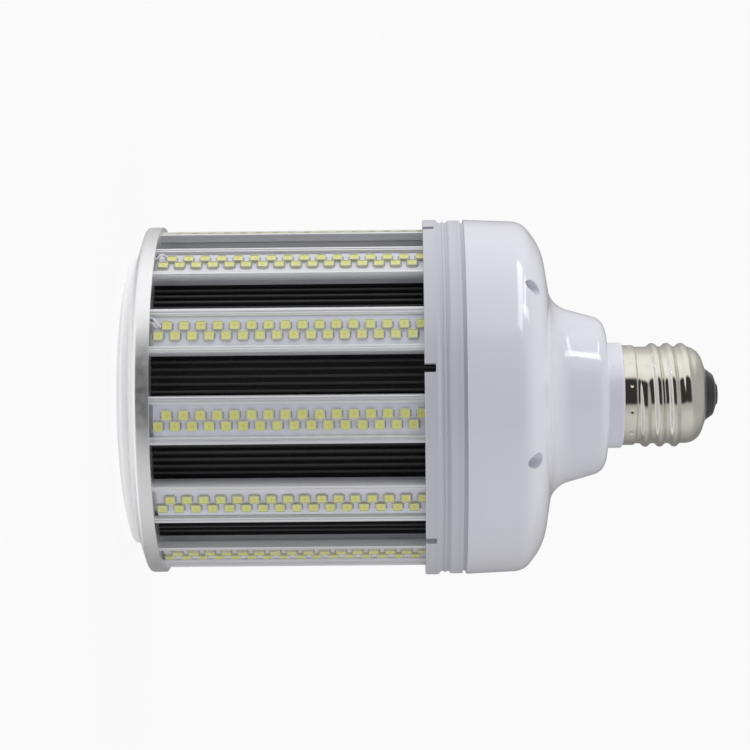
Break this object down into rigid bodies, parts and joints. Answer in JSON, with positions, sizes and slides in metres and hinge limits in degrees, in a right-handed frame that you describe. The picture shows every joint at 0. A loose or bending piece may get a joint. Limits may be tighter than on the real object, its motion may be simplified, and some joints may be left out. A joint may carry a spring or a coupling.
{
  "type": "corn led bulb",
  "caption": "Corn-style LED bulb: strips of LED packages round a black finned core, an opal head lens, a white driver housing and an Edison screw cap.",
  "frame": {"origin": "middle of the head lens's flat face, which the bulb stands on", "axes": "+Z along the bulb's axis, from the head lens to the screw cap; the strips, notches and screws lie round it, with -Y the near side of the picture"},
  "size_m": [0.0894, 0.0894, 0.1491],
  "materials": {
    "carrier_aluminium": "satin extruded",
    "strip_board": "white solder mask",
    "led_package": "yellow phosphor in an olive body",
    "core_black": "black anodised",
    "ring_aluminium": "satin turned",
    "opal_lens": "opal",
    "white_plastic": "moulded, fine satin",
    "housing_plastic": "moulded, glossy",
    "screw_steel": "zinc plated",
    "nickel_plate": "bright nickel plate",
    "cap_glass": "black glass",
    "contact_metal": "tinned",
    "head_board_white": "white solder mask",
    "driver_laminate": "green laminate",
    "transformer_black": "moulded",
    "capacitor_sleeve": "sleeved",
    "choke_ferrite": "ferrite",
    "lead_insulation": "white insulation"
  },
  "bodies": {
    "root": {"strip_carrier_01": "carrier_aluminium", "strip_carrier_02": "carrier_aluminium", "strip_carrier_03": "carrier_aluminium", "strip_carrier_04": "carrier_aluminium", "strip_carrier_05": "carrier_aluminium", "strip_carrier_06": "carrier_aluminium", "strip_carrier_07": "carrier_aluminium", "strip_carrier_08": "carrier_aluminium", "strip_carrier_09": "carrier_aluminium", "strip_carrier_10": "carrier_aluminium", "strip_carrier_11": "carrier_aluminium", "strip_carrier_12": "carrier_aluminium", "led_board_01": "strip_board", "led_board_02": "strip_board", "led_board_03": "strip_board", "led_board_04": "strip_board", "led_board_05": "strip_board", "led_board_06": "strip_board", "led_board_07": "strip_board", "led_board_08": "strip_board", "led_board_09": "strip_board", "led_board_10": "strip_board", "led_board_11": "strip_board", "led_board_12": "strip_board", "led_chips_01": "led_package", "led_chips_02": "led_package", "led_chips_03": "led_package", "led_chips_04": "led_package", "led_chips_05": "led_package", "led_chips_06": "led_package", "led_chips_07": "led_package", "led_chips_08": "led_package", "led_chips_09": "led_package", "led_chips_10": "led_package", "led_chips_11": "led_package", "led_chips_12": "led_package", "head_led_chips": "led_package", "heat_sink_core": "core_black", "end_ring": "ring_aluminium", "end_lens": "opal_lens", "collar_ring": "white_plastic", "driver_tray": "white_plastic", "driver_housing": "housing_plastic", "head_screws": "screw_steel", "tray_screws": "screw_steel", "housing_screws": "screw_steel", "screw_shell": "nickel_plate", "cap_insulator": "cap_glass", "centre_contact": "contact_metal", "head_led_board": "head_board_white", "driver_board": "driver_laminate", "driver_transformer": "transformer_black", "driver_rectifier": "transformer_black", "driver_capacitors": "capacitor_sleeve", "driver_choke": "choke_ferrite", "jumper_leads": "lead_insulation"}
  },
  "joints": []
}
